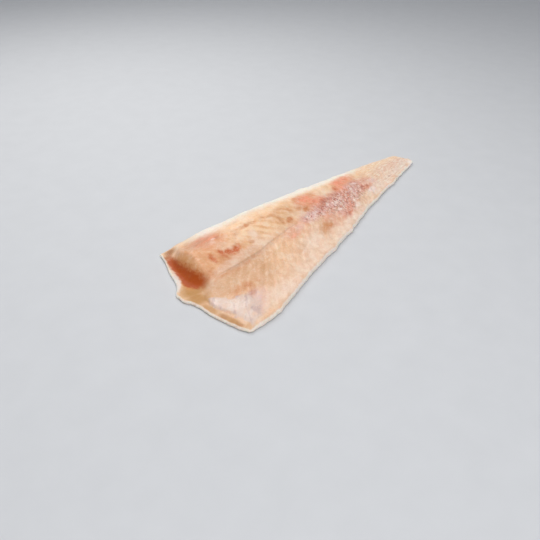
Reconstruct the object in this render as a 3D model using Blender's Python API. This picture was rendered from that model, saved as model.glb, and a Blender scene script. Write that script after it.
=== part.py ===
"""Raw cod fillet, skinned, lying flesh side up on the flat side that the skin was cut from.

Metres, +Z up. The head end is at -X and the tail at +X. The thick loin lies along the back
edge at +Y and the thin belly lobe along the belly edge at -Y, with the midline seam between
them. The origin is under the middle of the fillet, on the plane that it rests on.

The fillet starts as a flat grid whose two coordinates run from head to tail and from belly
edge to back edge. The functions below give each grid point its place and its height.
"""
import bmesh
import bpy
import numpy as np

MM = 0.001

# Outline seen from above, in millimetres. The long edges are (x, y), the ends are (y, x).
BACK_EDGE = ((-128, 48.2), (-101, 46.5), (-87, 45.0), (-63, 39.4), (-27, 33.6), (35, 24.4), (92, 16.4),
             (129, 8.7))
BELLY_EDGE = ((-128, -45.3), (-107, -46.6), (-87, -43.8), (-57, -37.8), (-27, -33.0), (8, -26.8), (48, -18.4),
              (93, -12.2), (129, -6.8))
SEAM_LINE = ((-128, -3.2), (-111, -3.0), (-96, -3.6), (-86, -4.7), (-71, -4.9), (-62, -4.3), (-51, -2.9),
             (-17, -1.3), (43, -0.3), (93, 1.2), (129, 1.7))
HEAD_END = ((-46.3, -121.5), (-43.8, -125.6), (-34.8, -127.1), (-17.8, -127.3), (-5.8, -126.2), (1.2, -127.9),
            (7.2, -127.0), (12.2, -122.0), (16.2, -118.5), (28.2, -112.1), (40.2, -104.8), (46.5, -102.5))
TAIL_END = ((-8.3, 122.0), (-5.8, 125.8), (-2.8, 127.0), (0.2, 123.8), (6.2, 122.4), (9.7, 120.4),
            (11.7, 118.0))

# Small points where the knife left flake ends standing out of the trimmed edges, as (x, reach).
BELLY_POINTS = ((-100, 0.7), (-27, 1.2), (0, 1.4), (51, 1.3), (81, 1.1))
BACK_POINTS = ((11, 0.7), (48, 0.6))
POINT_WIDTH = 3.5

# Where the search for the ends of a grid line starts, and how often it is made closer.
HEAD_GUESS = -115.0
TAIL_GUESS = 125.0
GUESS_ROUNDS = 6

# Heights along the fillet, in millimetres, as (x, z).
LOIN_CREST = ((-123, 12.0), (-107, 13.4), (-92, 14.3), (-67, 15.2), (-47, 15.8), (-7, 14.2), (35, 11.1),
              (63, 8.9), (92, 6.5), (113, 4.7), (129, 3.4))
SEAM_HEIGHT = ((-128, 7.5), (-110, 8.2), (-77, 8.5), (-37, 8.3), (3, 7.6), (43, 6.6), (83, 5.3), (129, 3.8))
BELLY_HEIGHT = ((-128, 3.2), (-97, 3.6), (-57, 3.8), (3, 3.4), (63, 2.8), (129, 2.2))
BACK_THICKNESS = ((-128, 2.6), (-87, 2.8), (-57, 2.4), (33, 1.9), (129, 1.5))

# The crest's place between seam and back edge, and how far the back side flares into a thin flap.
CREST_PLACE = ((-128, 0.42), (-97, 0.43), (-47, 0.50), (3, 0.53), (129, 0.55))
BACK_FLARE = ((-128, 1.0), (-101, 0.95), (-85, 0.55), (-69, 0.0), (129, 0.0))
FLARE_RUN = 0.85
FLARE_SHARE = 0.9
CREST_SWELL = 0.55

# The cut front of the loin: its foot as (y, x), and the run from foot to lip as (y, length). The lip
# fades out towards the seam and towards the back edge, between the places along y given here.
NOSE_FOOT = ((-12, -120.5), (-3, -118.0), (2, -116.8), (8, -116.8), (17, -113.7), (26, -110.0), (33, -106.5),
             (46, -100.0))
NOSE_RUN = ((-12, 17.0), (-3, 11.5), (8, 11.5), (18, 10.5), (29, 7.5), (38, 9.0), (46, 10.0))
NOSE_HOLLOW = 1.3
LIP_HEIGHT = 0.6
LIP_PLACE = 1.15
LIP_WIDTH = 0.3
LIP_FADE_SEAM = (-2.0, 6.0)
LIP_FADE_BACK = (46.0, 36.0)
FLAP_THICKNESS = 2.4

# The belly falls from the seam to its edge between these shares of its width.
BELLY_FALL = (-0.1, 0.95)

# The belly's front: a thin rim with its width as (y, width), a step up to the lining that was left
# on, which gets longer between the corner's two places along y, and the rise behind it as
# (y, length). Within the blend's width of the seam it follows the loin's cut front.
FRONT_BLEND = 9.0
RIM_FRONT = 2.4
RIM_WIDTH = ((-46, 2.5), (-38, 5.6), (-28, 5.6), (-17, 4.2), (-9, 5.6), (-3, 9.5))
STEP_WIDTH = 2.2
CORNER_STEP = 6.0
CORNER = (-24.0, -38.0)
LINING_FRONT = 3.5
RISE_LENGTH = ((-46, 30.0), (-24, 29.0), (-13, 18.0), (-3, 9.0))

# The seam between the lobes: a soft groove that starts behind the cut front and fades towards the
# tail, between the places along x given here.
SEAM_DROP = 0.15
SEAM_DEPTH = 0.3
SEAM_HALF_WIDTH = 1.5
SEAM_START = (-108.0, -90.0)
SEAM_FADE = (-50.0, 40.0)

# Low relief: the flakes' ends as chevrons that point to the tail, and slow lumps.
FLAKE_PITCH = 7.5
FLAKE_HEIGHT = 0.28
FLAKE_SLANT = 1.05
LUMP_HEIGHT = 0.30
LUMP_LENGTHS = ((31.0, 23.0), (19.0, 37.0), (13.0, 17.0))

# The rounded edge all round.
EDGE_HEIGHT = 1.3
EDGE_ROUND = 2.2
UNDERCUT = 1.0

# Grid lines as (start, end, count) over the 0 to 1 of each coordinate, close where the form turns.
LENGTH_LINES = ((0.0, 0.012, 3), (0.012, 0.12, 22), (0.12, 0.975, 72), (0.975, 1.0, 5))
WIDTH_LINES = ((0.0, 0.03, 3), (0.03, 0.475, 13), (0.475, 0.525, 4), (0.525, 0.97, 16), (0.97, 1.0, 3))

FLESH_COLOUR = (0.80, 0.56, 0.40, 1.0)
FLESH_ROUGHNESS = 0.35
FLESH_METALLIC = 0.0


def smooth_curve(points, at):
    """A smooth curve through the points that never swings past them."""
    knots, values = np.array(points, dtype=float).T
    steps = np.diff(knots)
    slopes = np.diff(values) / steps
    before, after = slopes[:-1], slopes[1:]
    rising = before * after > 0.0
    near, far = 2 * steps[1:] + steps[:-1], steps[1:] + 2 * steps[:-1]
    safe_before, safe_after = np.where(rising, before, 1.0), np.where(rising, after, 1.0)
    mean = (near + far) / (near / safe_before + far / safe_after)
    bends = np.concatenate([slopes[:1], np.where(rising, mean, 0.0), slopes[-1:]])
    at = np.clip(at, knots[0], knots[-1])
    i = np.clip(np.searchsorted(knots, at) - 1, 0, len(steps) - 1)
    u = (at - knots[i]) / steps[i]
    ends = values[i] * (1 + 2 * u) * (1 - u) ** 2 + values[i + 1] * u * u * (3 - 2 * u)
    return ends + steps[i] * (bends[i] * u * (1 - u) ** 2 - bends[i + 1] * u * u * (1 - u))


def ease(start, end, at):
    """0 before start, 1 after end, and a smooth turn between."""
    u = np.clip((at - start) / (end - start), 0.0, 1.0)
    return u * u * (3 - 2 * u)


def mix(a, b, share):
    return a + (b - a) * share


def edge_points(points, x):
    """How far the flake ends reach out of a trimmed edge at x."""
    return sum(reach * np.exp(-np.abs(x - place) / POINT_WIDTH) for place, reach in points)


def long_lines(x):
    """The y of belly edge, seam and back edge at x."""
    belly = smooth_curve(BELLY_EDGE, x) - edge_points(BELLY_POINTS, x)
    back = smooth_curve(BACK_EDGE, x) + edge_points(BACK_POINTS, x)
    return belly, smooth_curve(SEAM_LINE, x), back


def across(x, t):
    """The y at share t of the width, where 0.5 is the seam."""
    belly, seam, back = long_lines(x)
    return np.where(t < 0.5, mix(belly, seam, 2 * t), mix(seam, back, 2 * t - 1))


def ground_place(s, t):
    """The x and y of a grid point, and its distances from the head end and the tail end."""
    head = np.full_like(s, HEAD_GUESS)
    tail = np.full_like(s, TAIL_GUESS)
    for _ in range(GUESS_ROUNDS):
        head = smooth_curve(HEAD_END, across(head, t))
        tail = smooth_curve(TAIL_END, across(tail, t))
    x = mix(head, tail, s)
    return x, across(x, t), x - head, tail - x


def loin_height(x, y, seam, back):
    """The thick lobe: up from the seam to the crest, then round or flaring down to the back edge."""
    crest, place = smooth_curve(LOIN_CREST, x), smooth_curve(CREST_PLACE, x)
    foot, edge = smooth_curve(SEAM_HEIGHT, x), smooth_curve(BACK_THICKNESS, x)
    v = np.clip((y - seam) / (back - seam), 0.0, 1.0)
    climb = np.clip(v / place, 0.0, 1.0)
    inner = foot + (crest - foot) * mix(ease(0.0, 1.0, climb), np.sin(climb * np.pi / 2), CREST_SWELL)
    u = np.clip((v - place) / (1 - place), 0.0, 1.0)
    rounded = np.sqrt(1 - u * u)
    flared = mix(rounded, 1 - ease(0.0, FLARE_RUN, u), FLARE_SHARE)
    outer = edge + (crest - edge) * mix(rounded, flared, smooth_curve(BACK_FLARE, x))
    return np.where(v < place, inner, outer)


def nose_share(x, y):
    """0 at the foot of the cut front and 1 at its lip."""
    return (x - smooth_curve(NOSE_FOOT, y)) / smooth_curve(NOSE_RUN, y)


def nose_slope(share):
    """The hollow slope of the cut front, from 0 at its foot to 1 at its lip."""
    return ease(0.0, 1.0, np.clip(share, 0.0, 1.0) ** NOSE_HOLLOW)


def nose_height(x, y, loin):
    """The loin's cut front: a slope from a thin flap up to a rounded lip."""
    share = nose_share(x, y)
    slope = nose_slope(share)
    flap = np.minimum(FLAP_THICKNESS, loin)
    lip = LIP_HEIGHT * np.exp(-((share - LIP_PLACE) / LIP_WIDTH) ** 2)
    return mix(flap, loin, slope) + lip * slope * ease(*LIP_FADE_SEAM, y) * ease(*LIP_FADE_BACK, y)


def belly_height(x, y, belly_edge, seam, from_head):
    """The thin lobe: down from the seam to the belly edge, with its stepped front."""
    top = smooth_curve(SEAM_HEIGHT, x) - SEAM_DROP * (1 - ease(*SEAM_FADE, x))
    low = smooth_curve(BELLY_HEIGHT, x)
    w = np.clip((seam - y) / (seam - belly_edge), 0.0, 1.0)
    lobe = mix(top, low, ease(*BELLY_FALL, w))
    past_rim = from_head - smooth_curve(RIM_WIDTH, y)
    off_seam = ease(0.0, FRONT_BLEND, seam - y)
    step = ease(0.0, mix(STEP_WIDTH, CORNER_STEP, ease(*CORNER, y)), past_rim) * off_seam
    rise = ease(0.0, 1.0, past_rim / smooth_curve(RISE_LENGTH, y))
    rise = mix(nose_slope(nose_share(x, y)), rise, off_seam)
    return mix(mix(RIM_FRONT, LINING_FRONT, step), lobe, rise)


def relief(x, y, seam):
    """The chevrons of the flakes and the slow lumps of soft flesh."""
    along = x + FLAKE_SLANT * np.abs(y - seam)
    flakes = FLAKE_HEIGHT * np.abs(np.sin(np.pi * along / FLAKE_PITCH))
    lumps = sum(np.sin(2 * np.pi * x / a + i) * np.cos(2 * np.pi * y / b - i)
                for i, (a, b) in enumerate(LUMP_LENGTHS))
    return flakes + LUMP_HEIGHT * lumps / len(LUMP_LENGTHS)


def top_height(x, y, from_head, from_tail):
    """The height of the flesh side, down to EDGE_HEIGHT at the outline."""
    belly_edge, seam, back_edge = long_lines(x)
    loin = nose_height(x, y, loin_height(x, y, seam, back_edge))
    z = np.where(y > seam, loin, belly_height(x, y, belly_edge, seam, from_head))
    behind_nose = ease(0.0, 1.0, nose_share(x, y))
    groove = np.exp(-((y - seam) / SEAM_HALF_WIDTH) ** 2) * ease(*SEAM_START, x) * (1 - ease(*SEAM_FADE, x))
    z = z + relief(x, y, seam) * behind_nose - SEAM_DEPTH * groove
    inward = np.minimum(np.minimum(back_edge - y, y - belly_edge), np.minimum(from_head, from_tail))
    turn = np.sqrt(1 - (1 - np.clip(inward / EDGE_ROUND, 0.0, 1.0)) ** 2)
    return mix(EDGE_HEIGHT, z, turn)


def grid_lines(spans):
    """The places of the grid's lines, from 0 to 1."""
    places = [start + (end - start) * i / count for start, end, count in spans for i in range(count)]
    return np.array(places + [spans[-1][1]])


def make_blank(columns, rows):
    """A flat closed slab: a grid on top at z 0, and a bottom outline one unit below it."""
    bm = bmesh.new()
    bmesh.ops.create_grid(bm, x_segments=columns, y_segments=rows, size=0.5)
    rim = [edge for edge in bm.edges if edge.is_boundary]
    wall = bmesh.ops.extrude_edge_only(bm, edges=rim)["geom"]
    lower = [item for item in wall if isinstance(item, bmesh.types.BMVert)]
    bmesh.ops.translate(bm, verts=lower, vec=(0.0, 0.0, -1.0))
    bmesh.ops.contextual_create(bm, geom=[edge for edge in bm.edges if edge.is_boundary])
    return bm


def shape_fillet(bm, lengthwise, crosswise):
    """Each point of the slab goes to its place on the fillet."""
    flat = np.array([vert.co[:] for vert in bm.verts])
    column = np.rint((flat[:, 0] + 0.5) * (len(lengthwise) - 1)).astype(int)
    row = np.rint((flat[:, 1] + 0.5) * (len(crosswise) - 1)).astype(int)
    x, y, from_head, from_tail = ground_place(lengthwise[column], crosswise[row])
    z = top_height(x, y, from_head, from_tail)
    below = flat[:, 2] < -0.5
    belly_edge, seam, back_edge = long_lines(x)
    half_width = np.where(y > seam, back_edge - seam, seam - belly_edge)
    inset_x = np.clip(UNDERCUT - from_head, 0.0, UNDERCUT) - np.clip(UNDERCUT - from_tail, 0.0, UNDERCUT)
    inset_y = UNDERCUT * (seam - y) / half_width
    x, y = np.where(below, x + inset_x, x), np.where(below, y + inset_y, y)
    z = np.where(below, 0.0, z)
    for vert, place in zip(bm.verts, np.stack([x, y, z], axis=1) * MM):
        vert.co = place
    bmesh.ops.recalc_face_normals(bm, faces=bm.faces)


def flesh_material():
    material = bpy.data.materials.new("raw_flesh")
    material.use_nodes = True
    shader = material.node_tree.nodes["Principled BSDF"]
    shader.inputs["Base Color"].default_value = FLESH_COLOUR
    shader.inputs["Roughness"].default_value = FLESH_ROUGHNESS
    shader.inputs["Metallic"].default_value = FLESH_METALLIC
    return material


def make_fillet(collection):
    lengthwise, crosswise = grid_lines(LENGTH_LINES), grid_lines(WIDTH_LINES)
    bm = make_blank(len(lengthwise) - 1, len(crosswise) - 1)
    shape_fillet(bm, lengthwise, crosswise)
    mesh = bpy.data.meshes.new("fillet")
    bm.to_mesh(mesh)
    bm.free()
    mesh.shade_smooth()
    mesh.materials.append(flesh_material())
    fillet = bpy.data.objects.new("fillet", mesh)
    collection.objects.link(fillet)
    return fillet


def main():
    for item in list(bpy.data.objects):
        bpy.data.objects.remove(item, do_unlink=True)
    collection = bpy.data.collections.new("cod_fillet")
    bpy.context.scene.collection.children.link(collection)
    make_fillet(collection)


main()
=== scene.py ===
import math

import bmesh
import bpy
import numpy as np
from mathutils import Matrix, Vector, noise


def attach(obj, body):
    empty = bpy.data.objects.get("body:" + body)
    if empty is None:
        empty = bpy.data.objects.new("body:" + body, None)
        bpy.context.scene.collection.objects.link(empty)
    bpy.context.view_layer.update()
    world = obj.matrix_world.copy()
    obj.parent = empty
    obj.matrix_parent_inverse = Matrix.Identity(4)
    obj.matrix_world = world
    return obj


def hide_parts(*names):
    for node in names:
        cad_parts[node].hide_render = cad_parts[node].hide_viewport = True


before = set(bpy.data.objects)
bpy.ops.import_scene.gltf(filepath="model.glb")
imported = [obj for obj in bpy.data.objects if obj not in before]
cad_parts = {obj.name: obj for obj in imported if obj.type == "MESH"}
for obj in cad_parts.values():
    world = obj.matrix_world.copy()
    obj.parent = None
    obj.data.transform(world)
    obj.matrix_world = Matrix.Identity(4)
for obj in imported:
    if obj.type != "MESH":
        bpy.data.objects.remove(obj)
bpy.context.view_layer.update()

# A raw cod fillet, skinned, lying flesh side up. The head end is at -X, the tail at +X, the thick
# loin along the back edge at +Y and the thin belly lobe at -Y. Form sizes are in millimetres.
MM = 0.001

# Outline seen from above. The long edges are (x, y), the ends are (y, x).
BACK_EDGE = ((-128, 48.2), (-101, 46.5), (-87, 45.0), (-63, 39.4), (-27, 33.6), (35, 24.4), (92, 16.4),
             (129, 8.7))
BELLY_EDGE = ((-128, -45.3), (-107, -46.6), (-87, -43.8), (-57, -37.8), (-27, -33.0), (8, -26.8),
              (48, -18.4), (93, -12.2), (129, -6.8))
SEAM_LINE = ((-128, -3.2), (-111, -3.0), (-96, -3.6), (-86, -4.7), (-71, -4.9), (-62, -4.3), (-51, -2.9),
             (-17, -1.3), (43, -0.3), (93, 1.2), (129, 1.7))
HEAD_END = ((-46.3, -121.5), (-43.8, -125.6), (-34.8, -127.1), (-17.8, -127.3), (-5.8, -126.2),
            (1.2, -127.9), (7.2, -127.0), (12.2, -122.0), (16.2, -118.5), (28.2, -112.1),
            (40.2, -104.8), (46.5, -102.5))
TAIL_END = ((-8.3, 122.0), (-5.8, 125.8), (-2.8, 127.0), (0.2, 123.8), (6.2, 122.4), (9.7, 120.4),
            (11.7, 118.0))

# Small points where the knife left flake ends standing out of the trimmed edges, as (x, reach).
BELLY_POINTS = ((-100, 0.7), (-27, 1.2), (0, 1.4), (51, 1.3), (81, 1.1))
BACK_POINTS = ((11, 0.7), (48, 0.6))
POINT_WIDTH = 3.5

# The torn edges: how deep they are cut back between the points, worked out at steps along each
# edge from slow notches and quick nicks, as (length, share), and a seed for each edge.
TORN_DEPTH = 0.55
TORN_STEPS = np.arange(-130.0, 130.5, 0.5)
TORN_SHARE = 0.3
TORN_LIMIT = 1.3
NOTCHES = (4.6, 1.1)
NICKS = (1.5, 0.5)
NICK_SEED = 9.0
TORN_SEEDS = {"belly": 1.5, "back": 4.5, "head": 7.5, "tail": 10.5}
BACK_TORN_SHARE = 0.5

# How far the finer skin stays inside the solid's head end.
HEAD_INSET = 0.06

# Where the search for the ends of a grid line starts, and how often it is made closer.
HEAD_GUESS = -115.0
TAIL_GUESS = 125.0
GUESS_ROUNDS = 6

# Heights along the fillet as (x, z).
LOIN_CREST = ((-123, 12.0), (-107, 13.4), (-92, 14.3), (-67, 15.2), (-47, 15.8), (-7, 14.2), (35, 11.1),
              (63, 8.9), (92, 6.5), (113, 4.7), (129, 3.4))
SEAM_HEIGHT = ((-128, 7.5), (-110, 8.2), (-77, 8.5), (-37, 8.3), (3, 7.6), (43, 6.6), (83, 5.3), (129, 3.8))
BELLY_HEIGHT = ((-128, 3.2), (-97, 3.6), (-57, 3.8), (3, 3.4), (63, 2.8), (129, 2.2))
BACK_THICKNESS = ((-128, 2.6), (-87, 2.8), (-57, 2.4), (33, 1.9), (129, 1.5))

# The crest's place between seam and back edge, and how far the back side flares into a thin flap.
CREST_PLACE = ((-128, 0.42), (-97, 0.43), (-47, 0.50), (3, 0.53), (129, 0.55))
BACK_FLARE = ((-128, 1.0), (-101, 0.95), (-85, 0.55), (-69, 0.0), (129, 0.0))
FLARE_RUN = 0.85
FLARE_SHARE = 0.9
CREST_SWELL = 0.55

# The cut front of the loin: its foot as (y, x), and the run from foot to lip as (y, length). The lip
# fades out towards the seam and towards the back edge, between the places along y given here.
NOSE_FOOT = ((-12, -120.5), (-3, -118.0), (2, -116.8), (8, -116.8), (17, -113.7), (26, -110.0),
             (33, -106.5), (46, -100.0))
NOSE_RUN = ((-12, 17.0), (-3, 11.5), (8, 11.5), (18, 10.5), (29, 7.5), (38, 9.0), (46, 10.0))
NOSE_HOLLOW = 1.3
NOSE_LIMITS = (-2.0, 3.0)
LIP_HEIGHT = 0.6
LIP_PLACE = 1.15
LIP_WIDTH = 0.3
LIP_FADE_SEAM = (-2.0, 6.0)
LIP_FADE_BACK = (46.0, 36.0)
FLAP_THICKNESS = 2.4

# The belly falls from the seam to its edge between these shares of its width.
BELLY_FALL = (-0.1, 0.95)

# The belly's front: a thin rim with its width as (y, width), a step up to the lining that was left
# on, which gets longer between the corner's two places along y, and the rise behind it as
# (y, length). Within the blend's width of the seam it follows the loin's cut front.
FRONT_BLEND = 9.0
RIM_FRONT = 2.4
RIM_WIDTH = ((-46, 2.5), (-38, 5.6), (-28, 5.6), (-17, 4.2), (-9, 5.6), (-3, 9.5))
STEP_WIDTH = 2.2
CORNER_STEP = 6.0
CORNER = (-24.0, -38.0)
LINING_FRONT = 3.5
RISE_LENGTH = ((-46, 30.0), (-24, 29.0), (-13, 18.0), (-3, 9.0))
LINING_TOP = ((-124, -6.0), (-119, -7.0), (-116.5, -12.5), (-114.5, -17.0), (-111, -20.3), (-107.5, -21.5),
              (-103.5, -23.8), (-99.5, -25.4), (-94, -28.5), (-88, -34.0))
LINING_BACK = ((-46, -112.0), (-40, -110.0), (-34, -106.0), (-28, -103.0), (-22, -106.0), (-12, -114.0))
LINING_THICKNESS = 0.25
LINING_EDGE = 1.0
LINING_FADE = (-5.0, 9.0)
LINING_CORNER = (-44.5, -41.5)

# How far the lining's wander moves its front, its back and its corner.
FRONT_SWAY = 0.5
BACK_SWAY = 2.5
CORNER_SWAY = 0.6

# The seam between the lobes: a soft groove that starts behind the cut front and fades towards the
# tail, between the places along x given here.
SEAM_DROP = 0.15
SEAM_DEPTH = 0.3
SEAM_HALF_WIDTH = 1.5
SEAM_START = (-108.0, -90.0)
SEAM_FADE = (-50.0, 40.0)

# The flakes: chevrons that point to the tail at the seam and turn back past the loin's crest.
FLAKE_PITCH = 6.2
FLAKE_CLOSING = 0.006
FLAKE_SLANT = 1.05
FLAKE_TURN = 0.75
FLAKE_HEIGHT = 0.28
FLAKE_RISE = 0.22
FIBRE_HEIGHT = 0.09
FIBRE_PITCH = 1.3
LUMP_HEIGHT = 0.30
LUMP_LENGTHS = ((31.0, 23.0), (19.0, 37.0), (13.0, 17.0))
RUFFLE_HEIGHT = 0.16
RUFFLE_SLANT = 0.6

# The flakes are lower on the loin, from its start above the seam, and relief is lower where the
# flesh is thinner than its full thickness here. The lining evens them out and has its own folds.
LOIN_FLAKES = 0.45
LOIN_START = 6.0
THIN_RELIEF = 0.45
FULL_THICKNESS = 9.0
LINING_EVENS = 0.6
FOLD_HEIGHT = 1.1

# Noise that bends lines and roughens the flesh, as (bump length, bump width, seed, reach), with
# the level that the flakes' height varies around and the pitches of the noise along the flakes.
RIM_WANDER = ((4.0, 4.0, 23.5, 1.0),)
LINING_WANDER = ((5.0, 4.0, 21.5, 2.4), (1.8, 1.6, 22.5, 1.6))
FLAKE_WANDER = ((23.0, 23.0, 31.5, 3.4), (7.0, 7.0, 32.5, 1.6))
FLAKE_LEVEL = 0.75
FLAKE_SWELL = ((14.0, 9.0, 41.5, 0.5),)
FIBRE_NOISE = ((1.0, 1.1, 42.5, 1.0),)
RUFFLES_WIDE = ((5.5, 3.2, 43.5, 1.0),)
RUFFLES_FINE = ((2.2, 1.6, 48.5, 0.5),)
TEARS = ((1.0, 5.0, 44.5, 2.0),)
TEAR_PITCH = 1.5
SHREDS = ((1.0, 2.0, 45.5, 0.8),)
SHRED_PITCH = 3.0
FOLDS_LONG = ((14.0, 4.0, 46.5, 1.0),)
FOLDS_FINE = ((1.8, 1.5, 47.5, 0.6),)

# Rough flesh where the flakes gape, as (x, y, half length, half width, turn in degrees, height).
ROUGH_PLACES = ((21, -7, 27, 13, -8, 0.42), (-10, -4, 15, 7, 0, 0.3), (46, -2, 18, 9, 0, 0.3),
                (-108, -28, 14, 14, 0, 0.16), (-52, -22, 30, 14, -10, 0.12))

# Small slits and hollows where the pin bones were drawn, in the same order with depth last.
SLITS = ((-96.5, 7.5, 3.0, 1.6, -35, 0.5), (-88, 8.2, 2.4, 1.2, -40, 0.35), (-84, 5.5, 3.4, 1.7, -30, 0.7),
         (-77.5, 5.2, 3.0, 1.5, 35, 0.75), (-65, 4, 2.2, 1.2, 0, 0.3), (5, -1.5, 3.4, 1.2, 30, 0.5),
         (33, -3, 2.5, 1.0, 20, 0.4), (52, -3.5, 4.0, 1.4, 5, 0.35), (18, -15, 3.0, 1.1, 30, 0.35),
         (24, -12, 3.0, 1.3, 0, 0.3), (-90, -22, 0.9, 0.8, 0, 0.35), (-124.5, -26, 1.6, 2.2, 0, 0.2),
         (-33, 5, 1.2, 2.8, 0, 0.2), (-28, 2.5, 2.4, 1.0, 30, 0.25), (-7, 3.5, 2.4, 1.0, 20, 0.25),
         (85.5, -7.5, 1.6, 1.0, 0, 0.25), (-38, -9, 2.4, 1.2, 30, 0.25))

# The rounded edge all round, with the rings of its lower half as (inset, height).
EDGE_HEIGHT = 1.3
EDGE_ROUND = 2.2
EDGE_RINGS = ((0.12, 0.75), (0.48, 0.26), (1.0, 0.0))

# How quickly an oval mark's height falls off from its middle.
OVAL_FALL = 1.6

# Grid lines as (start, end, count) over the 0 to 1 of each coordinate, close where the form turns.
LENGTH_LINES = ((0.0, 0.012, 6), (0.012, 0.12, 62), (0.12, 0.975, 280), (0.975, 1.0, 14))
WIDTH_LINES = ((0.0, 0.03, 6), (0.03, 0.47, 68), (0.47, 0.53, 18), (0.53, 0.97, 74), (0.97, 1.0, 6))


def smooth_curve(points, at):
    """A smooth curve through the points that never swings past them."""
    knots, values = np.array(points, dtype=float).T
    steps = np.diff(knots)
    slopes = np.diff(values) / steps
    before, after = slopes[:-1], slopes[1:]
    rising = before * after > 0.0
    near, far = 2 * steps[1:] + steps[:-1], steps[1:] + 2 * steps[:-1]
    safe_before, safe_after = np.where(rising, before, 1.0), np.where(rising, after, 1.0)
    mean = (near + far) / (near / safe_before + far / safe_after)
    bends = np.concatenate([slopes[:1], np.where(rising, mean, 0.0), slopes[-1:]])
    at = np.clip(at, knots[0], knots[-1])
    i = np.clip(np.searchsorted(knots, at) - 1, 0, len(steps) - 1)
    u = (at - knots[i]) / steps[i]
    ends = values[i] * (1 + 2 * u) * (1 - u) ** 2 + values[i + 1] * u * u * (3 - 2 * u)
    return ends + steps[i] * (bends[i] * u * (1 - u) ** 2 - bends[i + 1] * u * u * (1 - u))


def ease(start, end, at):
    """0 before start, 1 after end, and a smooth turn between."""
    u = np.clip((at - start) / (end - start), 0.0, 1.0)
    return u * u * (3 - 2 * u)


def mix(a, b, share):
    return a + (b - a) * share


def cloud(x, y, fields):
    """The sum of smooth noises given as (bump length, bump width, seed, reach)."""
    total = np.zeros_like(x)
    for long, wide, seed, reach in fields:
        points = zip((x / long).ravel(), (y / wide).ravel())
        total += reach * np.array([noise.noise((a, b, seed)) for a, b in points]).reshape(x.shape)
    return total


def torn_line(seed):
    """How far a torn edge is cut back, at each of the steps along it."""
    notches = (NOTCHES[0], 1.0, seed, NOTCHES[1])
    nicks = (NICKS[0], 1.0, seed + NICK_SEED, NICKS[1])
    cut = TORN_SHARE + cloud(TORN_STEPS, np.zeros_like(TORN_STEPS), (notches, nicks))
    return TORN_DEPTH * np.clip(cut, 0.0, TORN_LIMIT)


TORN = {name: torn_line(seed) for name, seed in TORN_SEEDS.items()}


def torn(name, at):
    return np.interp(at, TORN_STEPS, TORN[name])


def edge_points(points, x):
    """How far the flake ends reach out of a trimmed edge at x."""
    return sum(reach * np.exp(-np.abs(x - place) / POINT_WIDTH) for place, reach in points)


def long_lines(x):
    """The y of belly edge, seam and back edge at x."""
    belly = smooth_curve(BELLY_EDGE, x) - edge_points(BELLY_POINTS, x) + torn("belly", x)
    back = smooth_curve(BACK_EDGE, x) + edge_points(BACK_POINTS, x) - BACK_TORN_SHARE * torn("back", x)
    return belly, smooth_curve(SEAM_LINE, x), back


def across(x, t):
    """The y at share t of the width, where 0.5 is the seam."""
    belly, seam, back = long_lines(x)
    return np.where(t < 0.5, mix(belly, seam, 2 * t), mix(seam, back, 2 * t - 1))


def ground_place(s, t):
    """The x and y of a grid point, and its distances from the head end and the tail end."""
    head = np.full_like(s, HEAD_GUESS)
    tail = np.full_like(s, TAIL_GUESS)
    for _ in range(GUESS_ROUNDS):
        at_head, at_tail = across(head, t), across(tail, t)
        head = smooth_curve(HEAD_END, at_head) + HEAD_INSET + torn("head", at_head)
        tail = smooth_curve(TAIL_END, at_tail) - torn("tail", at_tail)
    x = mix(head, tail, s)
    return x, across(x, t), x - head, tail - x


def loin_height(x, y, seam, back):
    """The thick lobe: up from the seam to the crest, then round or flaring down to the back edge."""
    crest, place = smooth_curve(LOIN_CREST, x), smooth_curve(CREST_PLACE, x)
    foot, edge = smooth_curve(SEAM_HEIGHT, x), smooth_curve(BACK_THICKNESS, x)
    v = np.clip((y - seam) / (back - seam), 0.0, 1.0)
    climb = np.clip(v / place, 0.0, 1.0)
    inner = foot + (crest - foot) * mix(ease(0.0, 1.0, climb), np.sin(climb * np.pi / 2), CREST_SWELL)
    u = np.clip((v - place) / (1 - place), 0.0, 1.0)
    rounded = np.sqrt(1 - u * u)
    flared = mix(rounded, 1 - ease(0.0, FLARE_RUN, u), FLARE_SHARE)
    outer = edge + (crest - edge) * mix(rounded, flared, smooth_curve(BACK_FLARE, x))
    return np.where(v < place, inner, outer)


def nose_share(x, y):
    """0 at the foot of the cut front and 1 at its lip."""
    return (x - smooth_curve(NOSE_FOOT, y)) / smooth_curve(NOSE_RUN, y)


def nose_slope(share):
    """The hollow slope of the cut front, from 0 at its foot to 1 at its lip."""
    return ease(0.0, 1.0, np.clip(share, 0.0, 1.0) ** NOSE_HOLLOW)


def nose_height(x, y, loin):
    """The loin's cut front: a slope from a thin flap up to a rounded lip."""
    share = nose_share(x, y)
    slope = nose_slope(share)
    flap = np.minimum(FLAP_THICKNESS, loin)
    lip = LIP_HEIGHT * np.exp(-((share - LIP_PLACE) / LIP_WIDTH) ** 2)
    return mix(flap, loin, slope) + lip * slope * ease(*LIP_FADE_SEAM, y) * ease(*LIP_FADE_BACK, y)


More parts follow.
